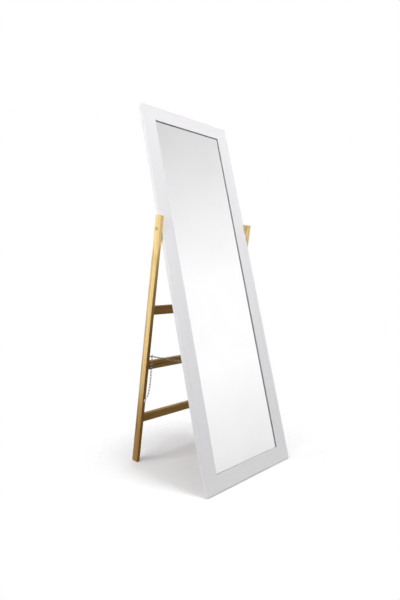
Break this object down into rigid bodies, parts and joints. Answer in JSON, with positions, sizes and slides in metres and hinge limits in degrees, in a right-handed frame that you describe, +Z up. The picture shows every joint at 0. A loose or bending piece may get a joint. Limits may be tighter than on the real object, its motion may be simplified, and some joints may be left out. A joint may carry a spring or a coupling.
{
  "type": "floor mirror",
  "caption": "Tall white-framed floor mirror that leans back on a folding pine ladder stand, pivoted on its sides and held open by a chain.",
  "frame": {"origin": "on the floor, at the middle of the footprint's box", "axes": "+X to the right seen from the front, +Y from the mirror's face to the back, +Z up"},
  "size_m": [0.4988, 0.4592, 1.4551],
  "materials": {
    "white_board": "satin white lacquer on board",
    "mirror": "clear float glass, silvered on its back",
    "fibreboard": "plain brown fibreboard",
    "beech": "plain fluted-dowel beech, unfinished",
    "pine": "clear varnished pine, satin",
    "zinc_steel": "zinc plated",
    "chain_steel": "nickel plated wire",
    "brass": "turned brass",
    "nylon": "natural nylon"
  },
  "bodies": {
    "mirror_panel": {"left_stile": "white_board", "right_stile": "white_board", "top_rail": "white_board", "bottom_rail": "white_board", "corner_dowels": "beech", "mirror_glass": "mirror", "backing_board": "fibreboard", "backing_clips": "zinc_steel", "clip_screws": "zinc_steel", "chain_eye": "zinc_steel", "left_pivot_insert": "brass", "left_pivot_bolt": "zinc_steel", "left_bolt_washer": "zinc_steel", "left_pivot_spacer": "nylon", "right_pivot_insert": "brass", "right_pivot_bolt": "zinc_steel", "right_bolt_washer": "zinc_steel", "right_pivot_spacer": "nylon"},
    "stand": {"left_leg": "pine", "right_leg": "pine", "upper_rung": "pine", "middle_rung": "pine", "lower_rung": "pine", "upper_rung_dowels": "beech", "middle_rung_dowels": "beech", "lower_rung_dowels": "beech", "chain_hook": "zinc_steel", "spare_chain": "chain_steel", "spare_chain_screw": "zinc_steel"},
    "frame_chain": {"chain_frame_run": "chain_steel"},
    "middle_link": {"chain_mid_link": "chain_steel"},
    "stand_chain": {"chain_stand_run": "chain_steel"}
  },
  "joints": [
    {"name": "stand_fold", "type": "hinge", "parent": "mirror_panel", "child": "stand", "pos_m": [0, 0.02516, 0.95108], "axis": [-1, 0, 0], "range_deg": [0, 20.67], "deforming": ["chain_frame_run", "chain_mid_link", "chain_stand_run"]},
    {"name": "frame_chain_swing", "type": "hinge", "parent": "mirror_panel", "child": "frame_chain", "pos_m": [-0.214, -0.084, 0.45663], "axis": [-0.9911, -0.0051, -0.133], "range_deg": [0, 101.4], "deforming": ["chain_frame_run", "chain_mid_link", "chain_stand_run"]},
    {"name": "middle_link_turn", "type": "hinge", "parent": "frame_chain", "child": "middle_link", "pos_m": [-0.214, 0.01483, 0.45283], "axis": [0.9788, 0.0079, 0.2046], "range_deg": [0, 139], "deforming": ["chain_frame_run", "chain_mid_link", "chain_stand_run"]},
    {"name": "stand_chain_swing", "type": "hinge", "parent": "stand", "child": "stand_chain", "pos_m": [-0.214, 0.11381, 0.44904], "axis": [0.9914, 0.005, 0.1306], "range_deg": [0, 93.4], "deforming": ["chain_frame_run", "chain_mid_link", "chain_stand_run"]}
  ],
  "couplings": [
    {"joint": "frame_chain_swing", "follows": "stand_fold", "ratio": 4.8983},
    {"joint": "middle_link_turn", "follows": "stand_fold", "ratio": 6.7164},
    {"joint": "stand_chain_swing", "follows": "stand_fold", "ratio": 4.5109}
  ]
}
